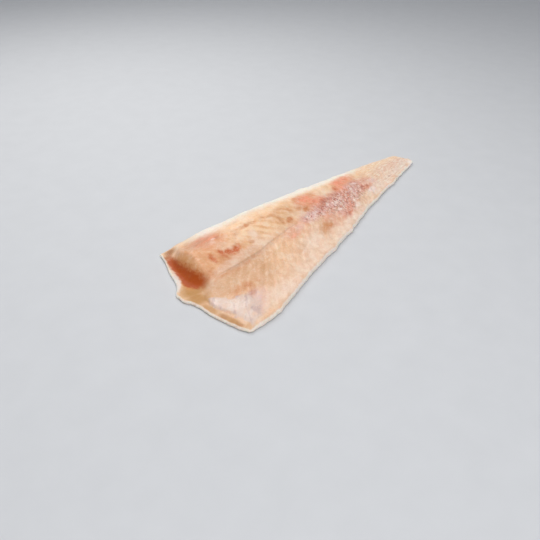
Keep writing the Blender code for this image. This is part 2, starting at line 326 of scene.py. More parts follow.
def belly_height(x, y, belly_edge, seam, from_head):
    """The thin lobe: down from the seam to the belly edge, with its stepped front."""
    top = smooth_curve(SEAM_HEIGHT, x) - SEAM_DROP * (1 - ease(*SEAM_FADE, x))
    low = smooth_curve(BELLY_HEIGHT, x)
    w = np.clip((seam - y) / (seam - belly_edge), 0.0, 1.0)
    lobe = mix(top, low, ease(*BELLY_FALL, w))
    past_rim = from_head - smooth_curve(RIM_WIDTH, y) + cloud(x, y, RIM_WANDER)
    off_seam = ease(0.0, FRONT_BLEND, seam - y)
    step = ease(0.0, mix(STEP_WIDTH, CORNER_STEP, ease(*CORNER, y)), past_rim) * off_seam
    rise = ease(0.0, 1.0, past_rim / smooth_curve(RISE_LENGTH, y))
    rise = mix(nose_slope(nose_share(x, y)), rise, off_seam)
    return mix(mix(RIM_FRONT, LINING_FRONT, step), lobe, rise)


def lining_cover(x, y, from_head):
    """1 on the torn lining that was left on the belly's front, 0 off it."""
    wander = cloud(x, y, LINING_WANDER)
    below = ease(0.0, LINING_EDGE, smooth_curve(LINING_TOP, x) - y + wander)
    behind = ease(0.0, STEP_WIDTH, from_head - smooth_curve(RIM_WIDTH, y) + FRONT_SWAY * wander)
    before = 1 - ease(*LINING_FADE, x - smooth_curve(LINING_BACK, y) + BACK_SWAY * wander)
    return below * behind * before * ease(*LINING_CORNER, y + CORNER_SWAY * wander)


def flake_run(x, y, seam, back):
    """The flake coordinate: whole numbers on the skins between flakes, rising towards the tail."""
    reach = np.abs(y - seam)
    crest = smooth_curve(CREST_PLACE, x) * (back - seam)
    folded = np.where((y > seam) & (reach > crest), crest - FLAKE_TURN * (reach - crest), reach)
    count = (x + FLAKE_SLANT * folded + cloud(x, y, FLAKE_WANDER)) / FLAKE_PITCH
    return count + FLAKE_CLOSING * count * count


def flakes(run):
    """The flakes' ends: a short rise, then a long slope down to the next skin."""
    u = run - np.floor(run)
    return ease(0.0, FLAKE_RISE, u) * (1 - ease(FLAKE_RISE, 1.0, u))


def ovals(x, y, table):
    """The summed heights of soft ovals given as (x, y, half length, half width, turn, height)."""
    total = np.zeros_like(x)
    for at_x, at_y, long, wide, turn, height in table:
        c, s = math.cos(math.radians(turn)), math.sin(math.radians(turn))
        a, b = (x - at_x) * c + (y - at_y) * s, (y - at_y) * c - (x - at_x) * s
        total += height * np.exp(-OVAL_FALL * ((a / long) ** 2 + (b / wide) ** 2))
    return total


def surface(x, y, from_head, from_tail):
    """The height of the flesh side, with the values that the flesh's colours follow."""
    belly_edge, seam, back_edge = long_lines(x)
    loin = nose_height(x, y, loin_height(x, y, seam, back_edge))
    z = np.where(y > seam, loin, belly_height(x, y, belly_edge, seam, from_head))
    nose = nose_share(x, y)
    behind_nose = ease(0.0, 1.0, nose)
    lining = lining_cover(x, y, from_head)
    run = flake_run(x, y, seam, back_edge)
    rough = ovals(x, y, ROUGH_PLACES)
    plain = (1 - LINING_EVENS * lining) * mix(1.0, LOIN_FLAKES, ease(0.0, LOIN_START, y - seam))
    thin = mix(THIN_RELIEF, 1.0, ease(0.0, FULL_THICKNESS, z))
    lumps = sum(np.sin(2 * np.pi * x / a + i) * np.cos(2 * np.pi * y / b - i)
                for i, (a, b) in enumerate(LUMP_LENGTHS))
    z = z + behind_nose * LUMP_HEIGHT * lumps / len(LUMP_LENGTHS)
    swell = FLAKE_LEVEL + cloud(x, y, FLAKE_SWELL)
    z = z + behind_nose * FLAKE_HEIGHT * plain * thin * swell * flakes(run)
    z = z + FIBRE_HEIGHT * cloud(run * FIBRE_PITCH, y, FIBRE_NOISE)
    ruffles = cloud(x, y, RUFFLES_WIDE) + cloud(x + RUFFLE_SLANT * np.abs(y), y, RUFFLES_FINE)
    z = z + RUFFLE_HEIGHT * thin * ruffles
    tears = 1 - np.abs(cloud(run * TEAR_PITCH, y, TEARS))
    z = z + rough * (tears * np.abs(tears) + cloud(run * SHRED_PITCH, y, SHREDS))
    folds = cloud(x + y, y - x, FOLDS_LONG) + cloud(x, y, FOLDS_FINE)
    z = z + LINING_THICKNESS * lining * (1 + FOLD_HEIGHT * folds)
    hollow = ovals(x, y, SLITS)
    z = z - hollow
    groove = np.exp(-((y - seam) / SEAM_HALF_WIDTH) ** 2) * ease(*SEAM_START, x) * (1 - ease(*SEAM_FADE, x))
    z = z - SEAM_DEPTH * groove
    inward = np.minimum(np.minimum(back_edge - y, y - belly_edge), np.minimum(from_head, from_tail))
    turn = np.sqrt(1 - (1 - np.clip(inward / EDGE_ROUND, 0.0, 1.0)) ** 2)
    side = np.where(y > seam, (y - seam) / (back_edge - seam), (y - seam) / (seam - belly_edge))
    follows = {"flake": run, "inward": inward, "side": side, "seam_gap": y - seam,
               "nose": np.clip(nose, *NOSE_LIMITS), "lining": lining, "hollow": hollow,
               "from_head": from_head, "rough": rough}
    return mix(EDGE_HEIGHT, z, turn), follows


def grid_lines(spans):
    """The places of the grid's lines, from 0 to 1."""
    places = [start + (end - start) * i / count for start, end, count in spans for i in range(count)]
    return np.array(places + [spans[-1][1]])


def make_blank(columns, rows):
    """A closed slab: a grid on top at z 0, rings of wall one unit apart below it, and a bottom."""
    bm = bmesh.new()
    bmesh.ops.create_grid(bm, x_segments=columns, y_segments=rows, size=0.5)
    for _ in EDGE_RINGS:
        rim = [edge for edge in bm.edges if edge.is_boundary]
        wall = bmesh.ops.extrude_edge_only(bm, edges=rim)["geom"]
        lower = [item for item in wall if isinstance(item, bmesh.types.BMVert)]
        bmesh.ops.translate(bm, verts=lower, vec=(0.0, 0.0, -1.0))
    bmesh.ops.contextual_create(bm, geom=[edge for edge in bm.edges if edge.is_boundary])
    return bm


def shape_fillet(bm, lengthwise, crosswise):
    """Each point of the slab goes to its place on the fillet; returns the values that colours follow."""
    flat = np.array([vert.co[:] for vert in bm.verts])
    column = np.rint((flat[:, 0] + 0.5) * (len(lengthwise) - 1)).astype(int)
    row = np.rint((flat[:, 1] + 0.5) * (len(crosswise) - 1)).astype(int)
    ring = np.rint(-flat[:, 2]).astype(int)
    x, y, from_head, from_tail = ground_place(lengthwise[column], crosswise[row])
    z, follows = surface(x, y, from_head, from_tail)
    inset, height = np.array(((0.0, EDGE_HEIGHT),) + EDGE_RINGS).T
    inset = inset[ring]
    belly_edge, seam, back_edge = long_lines(x)
    half_width = np.where(y > seam, back_edge - seam, seam - belly_edge)
    x = x + np.clip(inset - from_head, 0.0, None) - np.clip(inset - from_tail, 0.0, None)
    y = y + inset * (seam - y) / half_width
    z = np.where(ring > 0, height[ring], z)
    follows["under"] = np.where(ring == len(EDGE_RINGS), 1.0, 0.0)
    for vert, place in zip(bm.verts, np.stack([x, y, z], axis=1) * MM):
        vert.co = place
    bmesh.ops.recalc_face_normals(bm, faces=bm.faces)
    return follows


class Wire:
    """One output of a shader node. Arithmetic on it adds the nodes that do the same."""

    def __init__(self, net, socket):
        self.net, self.socket = net, socket

    def maths(self, operation, first, second=0.0):
        return self.net.node("ShaderNodeMath", {"operation": operation}, {0: first, 1: second})

    def __add__(self, other):
        return self.maths("ADD", self, other)

    def __radd__(self, other):
        return self.maths("ADD", other, self)

    def __sub__(self, other):
        return self.maths("SUBTRACT", self, other)

    def __rsub__(self, other):
        return self.maths("SUBTRACT", other, self)

    def __mul__(self, other):
        return self.maths("MULTIPLY", self, other)

    def __rmul__(self, other):
        return self.maths("MULTIPLY", other, self)

    def __truediv__(self, other):
        return self.maths("DIVIDE", self, other)

    def __abs__(self):
        return self.maths("ABSOLUTE", self)

    def at_least(self, other):
        return self.maths("MAXIMUM", self, other)

    def at_most(self, other):
        return self.maths("MINIMUM", self, other)

    def part_of_one(self):
        return self.maths("FRACT", self)

    def ramp(self, start, end, height=1.0):
        """0 at start, the height at end, and a smooth turn between."""
        ends = {"Value": self, "From Min": start, "From Max": end, "To Min": 0.0, "To Max": height}
        return self.net.node("ShaderNodeMapRange", {"interpolation_type": "SMOOTHSTEP"}, ends)


# Where a mark's colour starts to come in, as a share of its half length or half width.
MARK_EDGE = 1.15


class Net:
    """The shader nodes of one material."""

    def __init__(self, name):
        self.material = bpy.data.materials.new(name)
        self.material.use_nodes = True
        self.tree = self.material.node_tree
        self.shader = self.tree.nodes["Principled BSDF"]
        self.turned_places = {}

    def node(self, kind, settings, inputs, output=0):
        made = self.tree.nodes.new(kind)
        for key, value in settings.items():
            setattr(made, key, value)
        for key, value in inputs.items():
            self.feed(made.inputs[key], value)
        return Wire(self, made.outputs[output])

    def feed(self, socket, value):
        if isinstance(value, Wire):
            self.tree.links.new(value.socket, socket)
        else:
            socket.default_value = value

    def place(self, scale):
        """The point's place on the piece, in metres times scale."""
        here = self.node("ShaderNodeTexCoord", {}, {}, "Object")
        return self.node("ShaderNodeVectorMath", {"operation": "SCALE"}, {"Vector": here, "Scale": scale})

    def axes(self, vector):
        first = self.node("ShaderNodeSeparateXYZ", {}, {"Vector": vector})
        return [Wire(self, socket) for socket in first.socket.node.outputs]

    def vector(self, x, y, z):
        return self.node("ShaderNodeCombineXYZ", {}, {"X": x, "Y": y, "Z": z})

    def value(self, name):
        """A value that the mesh carries."""
        return self.node("ShaderNodeAttribute", {"attribute_name": name}, {}, "Fac")

    def cloud(self, vector, scale, detail, roughness, output=0):
        inputs = {"Vector": vector, "Scale": scale, "Detail": detail, "Roughness": roughness}
        return self.node("ShaderNodeTexNoise", {}, inputs, output)

    def shift(self, vector, scale, reach):
        """The vector moved about by noise, by up to about half the reach."""
        drift = self.cloud(vector, scale, 2.0, 0.5, 1)
        halves = {0: drift, 1: (0.5, 0.5, 0.5)}
        centred = self.node("ShaderNodeVectorMath", {"operation": "SUBTRACT"}, halves)
        inputs = {0: centred, 1: (reach, reach, reach), 2: vector}
        return self.node("ShaderNodeVectorMath", {"operation": "MULTIPLY_ADD"}, inputs)

    def paint(self, under, over, amount):
        """The colour under, covered with the colour over by the amount."""
        inputs = {0: amount, 6: under, 7: over}
        return self.node("ShaderNodeMix", {"data_type": "RGBA", "clamp_factor": True}, inputs, 2)

    def turned(self, place, degrees):
        """The place along axes turned by the degrees, made once for all the marks that share it."""
        key = (place.socket.node.name, degrees)
        if key not in self.turned_places:
            x, y, _ = self.axes(place)
            c, s = math.cos(math.radians(degrees)), math.sin(math.radians(degrees))
            self.turned_places[key] = self.vector(x * c + y * s, y * c - x * s, 0.0)
        return self.turned_places[key]

    def marks(self, place, table, firmness=0.25):
        """How far soft ovals given as (x, y, half length, half width, turn, strength) cover a point."""
        cover = None
        for x, y, long, wide, turn, strength in table:
            c, s = math.cos(math.radians(turn)), math.sin(math.radians(turn))
            inputs = {0: self.turned(place, turn), 1: (1 / long, 1 / wide, 0.0),
                      2: (-(x * c + y * s) / long, -(y * c - x * s) / wide, 0.0)}
            inside = self.node("ShaderNodeVectorMath", {"operation": "MULTIPLY_ADD"}, inputs)
            gap = self.node("ShaderNodeVectorMath", {"operation": "LENGTH"}, {0: inside}, "Value")
            oval = gap.ramp(MARK_EDGE, firmness, strength)
            cover = oval if cover is None else cover.at_least(oval)
        return cover

    def finish(self, colour, roughness, coat, bump):
        self.feed(self.shader.inputs["Base Color"], colour)
        self.feed(self.shader.inputs["Roughness"], roughness)
        self.feed(self.shader.inputs["Coat Weight"], coat)
        raised = self.node("ShaderNodeBump", {}, {"Height": bump, "Distance": MM, "Strength": 1.0})
        self.feed(self.shader.inputs["Normal"], raised)
        return self.material


def tone(red, green, blue):
    """A colour from its 0 to 255 screen values."""
    parts = [c / 255 for c in (red, green, blue)]
    return tuple(c / 12.92 if c <= 0.04045 else ((c + 0.055) / 1.055) ** 2.4 for c in parts) + (1.0,)


# Colours of the flesh.
BELLY = tone(236, 193, 158)
LOIN = tone(250, 210, 171)
PALE = tone(250, 232, 212)
# The bright tone is also painted as the highlight along the back edge.
BRIGHT = tone(255, 246, 232)
MILKY = tone(240, 216, 200)
TAN = tone(214, 166, 126)
FLUSH = tone(222, 156, 106)
# A lighter tone, painted as light on the loin's inner slope beside the seam.
SLOPE_LIGHT = tone(228, 186, 158)
HONEY = tone(247, 195, 144)
PINK = tone(228, 156, 114)
CORAL = tone(246, 159, 126)
RUST = tone(200, 102, 50)
WINE = tone(186, 104, 80)
ROSE = tone(219, 147, 130)
BROWN = tone(176, 76, 4)
# A dark tone used as painted shade in the grit of the torn flesh.
GRIT_SHADE = tone(150, 82, 64)
EMBER = tone(212, 118, 84)
LIP_TAN = tone(222, 156, 84)
WEDGE = tone(176, 118, 70)
AMBER = tone(188, 136, 72)
LOOP = tone(224, 164, 108)
TAWNY = tone(206, 134, 84)
LILAC = tone(229, 190, 185)
# The silvery tone is also painted as glints and highlights on the torn flesh.
SILVER = tone(255, 238, 226)
GREY = tone(176, 132, 118)
SMUDGE = tone(210, 156, 110)
LINING = tone(220, 196, 184)
FOLD = tone(196, 166, 158)
FRINGE = tone(228, 218, 210)
# The pale cut edge, with a painted highlight that also lifts the shade on the side wall.
RIM = tone(255, 248, 238)
# Painted shade for the groove where the loin meets the belly.
SEAM = tone(186, 138, 108)

# The underside's colours, and its midline as y at the middle and its slope.
UNDER_TAN = tone(226, 198, 178)
UNDER_PALE = tone(238, 218, 204)
UNDER_LINE = tone(196, 142, 118)
UNDER_SKIN = tone(240, 232, 226)
UNDER_LINE_START = -1.2
UNDER_LINE_SLOPE = 0.02

# The pale floor.
FLOOR_GREY = tone(205, 207, 210)
FLOOR_PALE = tone(212, 214, 217)
FLOOR_GRAIN = (60.0, 3.0, 0.5)

# Wide soft washes of colour, as (x, y, half length, half width, turn in degrees, strength).
FLUSH_WASHES = ((-92, 18, 22, 22, 0, 1.0), (-104, 8, 9, 12, 0, 0.9), (-86, 4, 20, 7, 0, 0.9),
                (-99, 24, 11, 15, 0, 0.9), (-100, -20, 12, 5, 0, 0.4))
# Painted light: a lighter band on the loin's inner slope just above the seam, where shade falls.
SLOPE_LIGHT_WASHES = ((-84, -1.4, 30, 3.6, 0, 0.8), (-61, 3, 6, 7, 0, 0.5))
TAN_WASHES = ((-100, -11, 24, 10, 0, 0.9), (-84, -9, 24, 9, 0, 1.0), (-84, -20, 18, 8, 20, 0.8),
              (-24, 8, 20, 7, 0, 0.4), (-12, -16, 14, 6, 20, 0.6))
PINK_WASHES = ((-85, 22, 14, 12, 0, 0.9), (-30, -6, 16, 8, 0, 0.35),
               (-1, 7, 17, 9, 0, 0.9), (44, 7, 15, 9, 0, 0.9), (98, 1, 20, 6, 0, 0.5))
ROSE_WASHES = ((10, -2, 22, 9, 0, 1.0), (27, -3, 20, 10, 0, 1.0), (46, -1, 20, 8, 0, 1.0),
               (20, -11, 20, 8, 20, 0.9), (-1, -14, 18, 7, 20, 0.5), (-12, -3, 14, 6, 0, 0.8),
               (-36, -6, 12, 5, 20, 0.4), (60, -2, 12, 7, 0, 0.8), (-87, 22, 10, 7, 0, 0.5))
HONEY_WASHES = ((-54, 14, 40, 6, -10, 0.6), (-20, 9, 20, 7, 0, 0.6), (-60, -14, 28, 9, 20, 0.35),
                (62, 11, 18, 5, -10, 0.5), (-40, 8, 30, 7, 0, 0.4))
MILKY_WASHES = ((-40, -31, 60, 9, 10, 0.45), (10, -24, 50, 7, 10, 0.7), (104, -2, 30, 12, 0, 1.0),
                (70, -10, 30, 7, 10, 0.7), (-84, -38, 24, 9, 0, 0.6), (-30, -20, 24, 9, 20, 0.5))

# Smaller marks in the same order.
CORAL_MARKS = ((-3, 9.5, 11, 5, 0, 1.0), (3, 6, 10, 6, -20, 0.9), (9, 3.5, 7, 4.4, 0, 0.8),
               (32, 5, 5, 5, 0, 0.9), (42, 9, 15, 5.6, 0, 1.0), (38, 3, 9, 5, 0, 0.9),
               (28, -6, 8, 5, 20, 0.6), (24.5, -11.5, 7, 3.4, 20, 0.9), (18, -15, 5, 3, 20, 0.7),
               (54, -4.5, 10, 5, 0, 0.8), (-87, 21, 13, 2.6, 0, 0.5), (-84, 28, 7, 6, 0, 0.4),
               (-38, -9, 4, 2, 20, 0.5), (-1, -9, 9, 3, 20, 0.4))
RUST_MARKS = ((-96.5, 7, 3, 4.6, 0, 0.45), (-89, 7, 3.2, 4.8, 0, 0.7), (-84.2, 5, 4.6, 3.4, -20, 1.0),
              (-78.2, 4.5, 5, 3, 20, 1.0), (6, -1, 6, 3, 0, 0.5), (10, 3, 4, 2, 0, 0.4),
              (33, -2.5, 6, 3, 20, 0.5), (31, 5.5, 3.4, 3, 0, 0.4), (18.5, -15.5, 4, 2, 20, 0.6),
              (54, -4, 5, 3, 0, 0.35))
WINE_MARKS = ((5, -1.6, 5, 2.6, 0, 1.0), (10.5, 1.4, 6, 2.6, 0, 0.8), (8, -5, 5, 2.2, 20, 0.7),
              (21, -3, 2.4, 5, 0, 0.8), (17, 1, 7, 2.4, 0, 0.4), (27, 1, 7, 2.6, 0, 0.4),
              (35, -1.5, 5, 3, 0, 0.7), (27, -7, 6, 2.4, 20, 0.5), (53, -4, 6, 3, 0, 0.6),
              (58, -5, 4, 2.4, 20, 0.5), (52.5, 0.4, 2.4, 1.3, 0, 0.9), (49, 3, 4, 1.6, -20, 0.5),
              (46, -1, 4, 1.6, 20, 0.5), (14, -16.5, 5, 2.4, 20, 0.5), (-3, -4, 2, 1.2, 20, 0.9),
              (-101, -26, 7, 3.4, 20, 0.5), (-110, -22, 5, 2, 0, 0.35), (-104, -28, 5, 1.6, 20, 0.35),
              (-81, 18.5, 2.4, 2, 0, 0.35))
LILAC_MARKS = ((-7, -2.6, 12, 4.4, 0, 1.0), (-17, -2, 6, 3, 0, 0.6), (43, -2, 7, 4.4, 20, 0.8),
               (15, -4, 8, 3.4, 0, 0.7), (57, -9.5, 7, 3, 0, 0.7), (68, -3, 5, 3, 0, 0.5),
               (40, 3, 4, 2.4, 0, 0.5), (-101, -31, 12, 7, 20, 0.7), (-107, -37, 9, 5, 20, 0.6),
               (-28, -6, 8, 4, 20, 0.4))
GREY_MARKS = ((-110, -33, 3.4, 1.6, 20, 0.4), (86, -7.5, 2.6, 1.4, 0, 0.7), (20, -5, 2, 4, 0, 0.5),
              (46, 0, 8, 3, 0, 0.4))
TAWNY_MARKS = ((-106, -18.5, 7, 3, 0, 0.5), (-98, -20.5, 5, 3.4, 0, 1.0), (-90, -22, 2, 1.4, 0, 0.9),
               (-88, 3, 12, 5, 0, 0.6), (-107, 0, 7, 4, 0, 0.7), (-102, -5, 12, 2.4, 0, 0.5),
               (-84, -7, 20, 2.4, 0, 0.4), (-90, 22, 9, 6, 0, 0.9), (-80, 18, 4, 3.4, 0, 0.7),
               (-59, 13.8, 12, 2.4, -10, 0.9), (-44, 13, 5, 2.4, 0, 0.5), (-38, 10.5, 6, 1.8, -20, 0.5),
               (-70, 12, 3.4, 2.6, 0, 0.5), (-66, 2.5, 3, 2.2, 0, 0.5), (-33.5, 5, 3, 5, 0, 0.7),
               (-27.5, 2.5, 4.6, 3, 10, 1.0), (-26, 11, 5, 2, -20, 0.5), (-21, 8, 4, 2.4, -20, 0.5),
               (-13, 5.5, 4, 2.4, 0, 0.6), (-8, 12, 6, 2.6, 0, 0.6), (-7.5, 3.5, 4.4, 2.6, 10, 1.0),
               (-13, -16, 9, 4.4, 20, 0.6), (-8, -17, 5, 3, 20, 0.7))
SMUDGE_MARKS = ((-12, -16, 10, 5, 20, 0.8), (-44, -20, 9, 3, 20, 0.5), (-63, -14, 6, 3, 20, 0.3),
                (-70, -30, 9, 3, 20, 0.4), (-52, -10, 6, 3, 20, 0.4), (-78, -17, 8, 3, 20, 0.5))
# Silvery spots, partly membrane and partly painted highlights, in the same order.
SILVER_GLINT_MARKS = ((-5, -1.5, 2.4, 1.2, 0, 0.4), (-13, -1, 2, 1, 20, 0.4), (13.5, -10.5, 2.6, 1.4, 0, 0.7),
                (18.5, -3.5, 1.9, 1.5, 0, 0.5), (50, 2.2, 5, 0.9, -20, 0.5), (43, 0, 2.6, 1, 20, 0.45),
                (30, -14, 5, 2, 20, 0.5), (57, -9.5, 6, 2.6, 10, 0.5), (-83, 19, 1.8, 1.4, 0, 0.4),
                (122, -6.5, 4, 3.4, 0, 1.0), (-60, 6.5, 3.4, 3, 0, 0.35), (10, -1, 3, 1.2, 20, 0.3))
AMBER_MARKS = ((-118.5, 3, 10.5, 9.5, 0, 1.0), (-121.5, -4, 8.5, 8.5, 0, 0.95),
               (-125, -16, 4.6, 10, 0, 0.75), (-125.5, -31, 4.6, 12, 0, 0.85),
               (-122, -42, 6, 4, 0, 0.4))
SPOT_MARKS = ((-124.5, -26, 3, 3.6, 0, 0.55), (-124.8, -36.5, 2.4, 3.4, 0, 0.55),
              (-125.4, -32.5, 2, 2.4, 0, 0.3))
WHITEST_MARKS = ((-119, -16, 5, 5, 0, 0.7), (-115, -24, 7, 8, 0, 0.9), (-112, -29, 8, 5, 0, 0.7),
                 (-116, -35, 5, 6, 0, 0.6))
# Brown in the hollow behind the lip at the back corner: brownish flesh with painted shade.
WEDGE_SHADE_MARKS = ((-98.2, 41.5, 6, 4, 0, 1.0), (-102.5, 39.5, 5, 3.4, 0, 0.9))

# How much of a wash is at full strength, as a share of its half size, and the washes that the
# mottle breaks up, as (colour, washes).
SOFT, FIRM = 0.2, 0.45
MOTTLED_WASHES = ((TAN, TAN_WASHES), (FLUSH, FLUSH_WASHES), (PINK, PINK_WASHES), (ROSE, ROSE_WASHES))

# Bends of the marks as (scale, reach), and even noises as (scale, detail, roughness).
SLOW_BEND, QUICK_BEND = (0.16, 3.0), (0.6, 1.4)
PATCHES = (0.075, 3.0, 0.55)
CLOTS = (0.22, 2.0, 0.5)
SPECKS = (0.55, 3.0, 0.6)
GRAIN = (1.1, 2.0, 0.6)

# Drawn-out noises as (scale of the first direction, of the second, layer, detail, roughness), and
# the turn and stretch of the lining's folds.
STROKES = (1.7, 0.16, 0.0, 3.0, 0.6)
FIBRES = (0.16, 1.3, 0.0, 2.0, 0.5)
DABS = (2.4, 0.3, 15.0, 2.0, 0.5)
TORN_SHREDS = (0.32, 0.16, 12.0, 2.0, 0.6)
GRIT = (0.8, 0.24, 9.0, 3.0, 0.65)
TANGLE = (0.6, 0.2, 6.0, 2.0, 0.6)
STREAKS = (0.7, 0.12, 3.0, 2.0, 0.5)
FOLD_TURN = 45
FOLD_SCALE = (0.1, 0.4, 0.0)

# The flesh lets light in and has a thin wet coat.
FLESH_IOR = 1.40
LIGHT_INSIDE = 0.25
LIGHT_REACH = (1.0, 0.55, 0.35)
LIGHT_REACH_SCALE = 0.0018
COAT_ROUGHNESS = 0.18
COAT_IOR = 1.34


class FleshNet(Net):
    """The shader of the raw flesh, with the noises and mesh values that its layers share."""

    def __init__(self):
        super().__init__("raw_flesh")
        self.here = self.place(1 / MM)
        self.x, self.y, _ = self.axes(self.here)
        self.bent = self.shift(self.shift(self.here, *SLOW_BEND), *QUICK_BEND)
        self.bent_x, self.bent_y, _ = self.axes(self.bent)
        self.run, self.inward, self.side = self.value("flake"), self.value("inward"), self.value("side")
        self.seam_gap, self.nose = self.value("seam_gap"), self.value("nose")
        self.lining, self.hollow = self.value("lining"), self.value("hollow")
        self.from_head, self.under = self.value("from_head"), self.value("under")
        self.rough = self.value("rough")
        self.strokes = self.drawn_out(self.run, self.y, STROKES)
        self.patches = self.cloud(self.here, *PATCHES)
        self.clots = self.cloud(self.here, *CLOTS)
        self.specks = self.cloud(self.here, *SPECKS)
        self.fibres = self.drawn_out(self.x, self.y, FIBRES)
        self.flecks = 0.55 * self.strokes.ramp(0.34, 0.66) + 0.45 * self.specks.ramp(0.34, 0.66)
        self.grit = self.drawn_out(self.bent_x, self.bent_y, GRIT)
        self.tangle = abs(self.drawn_out(self.bent_x, self.bent_y, TANGLE) - 0.5)
        self.torn_flesh = self.rough.ramp(0.06, 0.34) * self.x.ramp(-40.0, -16.0)

    def drawn_out(self, first, second, field):
        """Noise drawn out along one of the two directions."""
        first_scale, second_scale, layer, detail, roughness = field
        stretched = self.vector(first * first_scale, second * second_scale, layer)
        return self.cloud(stretched, 1.0, detail, roughness)

    def blot(self, colour, over, table, gain):
        """Marks painted over the colour, broken up by the flecks."""
        cover = self.marks(self.bent, table, 0.0) * (0.35 + 1.1 * self.flecks)
        return self.paint(colour, over, (cover * gain).at_most(0.95))


def lobe_colours(net):
    """The pale loin and belly with their wide washes, and a band of painted light above the seam."""
    mottle = 0.65 + 0.5 * net.flecks
    colour = net.paint(BELLY, LOIN, net.seam_gap.ramp(-2.0, 8.0))
    colour = net.paint(colour, HONEY, net.marks(net.bent, HONEY_WASHES, SOFT) * mottle)
    colour = net.paint(colour, MILKY, net.marks(net.bent, MILKY_WASHES, SOFT))
    for over, washes in MOTTLED_WASHES:
        colour = net.paint(colour, over, net.marks(net.bent, washes, FIRM) * mottle)
    # Painted light over the shade on the loin's inner slope above the seam.
    return net.paint(colour, SLOPE_LIGHT, net.marks(net.bent, SLOPE_LIGHT_WASHES, FIRM))


def flake_marks(net, colour):
    """Strokes along the flakes, soft patches and clots, and loops on the loin's inner side."""
    colour = net.paint(colour, TAN, net.strokes.ramp(0.50, 0.70) * 0.22)
    amount = 0.12 + net.x.ramp(-100.0, -60.0, 0.23)
    colour = net.paint(colour, PALE, net.strokes.ramp(0.46, 0.30) * amount)
    colour = net.paint(colour, PALE, net.patches.ramp(0.50, 0.34) * 0.25)
    amount = 0.06 + net.x.ramp(-95.0, -65.0, 0.2)
    colour = net.paint(colour, PALE, net.clots.ramp(0.50, 0.36) * amount)
    colour = net.paint(colour, TAN, net.clots.ramp(0.50, 0.66) * 0.25)
    skins = abs(net.run.part_of_one() - 0.5).ramp(0.16, 0.5)
    beside_seam = net.seam_gap.ramp(3.0, 7.0) * net.seam_gap.ramp(17.0, 10.0)
    loops = skins * beside_seam * net.x.ramp(-84.0, -62.0) * net.x.ramp(6.0, -10.0)
    return net.paint(colour, LOOP, loops * net.patches.ramp(0.35, 0.65) * 0.7)


def back_band_and_highlight(net, colour):
    """The pale band along the back edge with a painted highlight over it, and the warm tail."""
    band = (net.side + net.x.ramp(-50.0, 10.0, 0.14)).ramp(0.54, 0.82) * net.x.ramp(-92.0, -72.0)
    amount = (0.4 + net.x.ramp(84.0, 40.0, 0.6)) * (0.85 + 0.3 * net.flecks)
    # Painted highlight: the back edge's glare laid over its paler flesh.
    colour = net.paint(colour, BRIGHT, band * amount)
    return net.paint(colour, LOIN, net.side.ramp(0.0, 0.7) * net.x.ramp(60.0, 96.0, 0.7))


def blood_marks(net, colour):
    """Smudges, painted shade behind the lip, coral and rust blotches, and the middle's violet and wine
    marks.
    """
    colour = net.blot(colour, SMUDGE, SMUDGE_MARKS, 1.0)
    # Painted shade in the hollow behind the lip, over brownish flesh.
    colour = net.paint(colour, WEDGE, net.marks(net.bent, WEDGE_SHADE_MARKS))
    colour = net.blot(colour, TAWNY, TAWNY_MARKS, 1.2)
    colour = net.blot(colour, CORAL, CORAL_MARKS, 1.1)
    dabs = net.drawn_out(net.run, net.y, DABS).ramp(0.50, 0.64)
    colour = net.paint(colour, EMBER, net.marks(net.bent, CORAL_MARKS, 0.3) * dabs * 0.5)
    colour = net.blot(colour, LILAC, LILAC_MARKS, 1.1)
    colour = net.blot(colour, GREY, GREY_MARKS, 0.8)
    colour = net.blot(colour, RUST, RUST_MARKS, 1.7)
    return net.blot(colour, WINE, WINE_MARKS, 1.3)


def torn_middle(net, colour):
    """Shreds where the flakes gape, with dark and silvery grit of painted shade and painted highlights."""
    shreds = net.drawn_out(net.x, net.y, TORN_SHREDS)
    colour = net.paint(colour, ROSE, shreds.ramp(0.50, 0.62) * net.torn_flesh * 0.7)
    colour = net.paint(colour, LILAC, shreds.ramp(0.46, 0.34) * net.torn_flesh * 0.5)
    # Painted shade and painted highlights: dark and silvery grit for the rough relief's light and shade.
    colour = net.paint(colour, GRIT_SHADE, net.grit.ramp(0.47, 0.34) * net.torn_flesh * 0.9)
    return net.paint(colour, SILVER, net.grit.ramp(0.54, 0.66) * net.torn_flesh * 0.9)


def fine_grain(net, colour):
    """Fine grain all over, with long fibres towards the tail."""
    grain = net.cloud(net.here, *GRAIN)
    amount = 0.14 + net.x.ramp(50.0, 90.0, 0.12)
    colour = net.paint(colour, TAN, grain.ramp(0.48, 0.34) * amount)
    colour = net.paint(colour, BRIGHT, grain.ramp(0.50, 0.66) * amount)
    colour = net.paint(colour, TAN, net.fibres.ramp(0.48, 0.36) * net.x.ramp(40.0, 90.0, 0.22))
    return net.paint(colour, BRIGHT, net.fibres.ramp(0.50, 0.64) * net.x.ramp(40.0, 90.0, 0.55))


def silver_skins_and_glints(net, colour):
    """Thin silvery skins where the flakes gape, drawn with painted glints and painted shade, and single
    glints.
    """
    # Painted shade: greyer flesh between the glint lines.
    colour = net.paint(colour, GREY, net.tangle.ramp(0.07, 0.14) * net.rough.ramp(0.12, 0.45) * 0.45)
    # Painted highlights: silvery glint lines over the thin skins.
    colour = net.paint(colour, SILVER, net.tangle.ramp(0.03, 0.0) * net.rough.ramp(0.05, 0.4) * 0.75)
    # Single silvery spots, partly membrane and partly painted highlights.
    return net.paint(colour, SILVER, net.marks(net.bent, SILVER_GLINT_MARKS, 0.5))


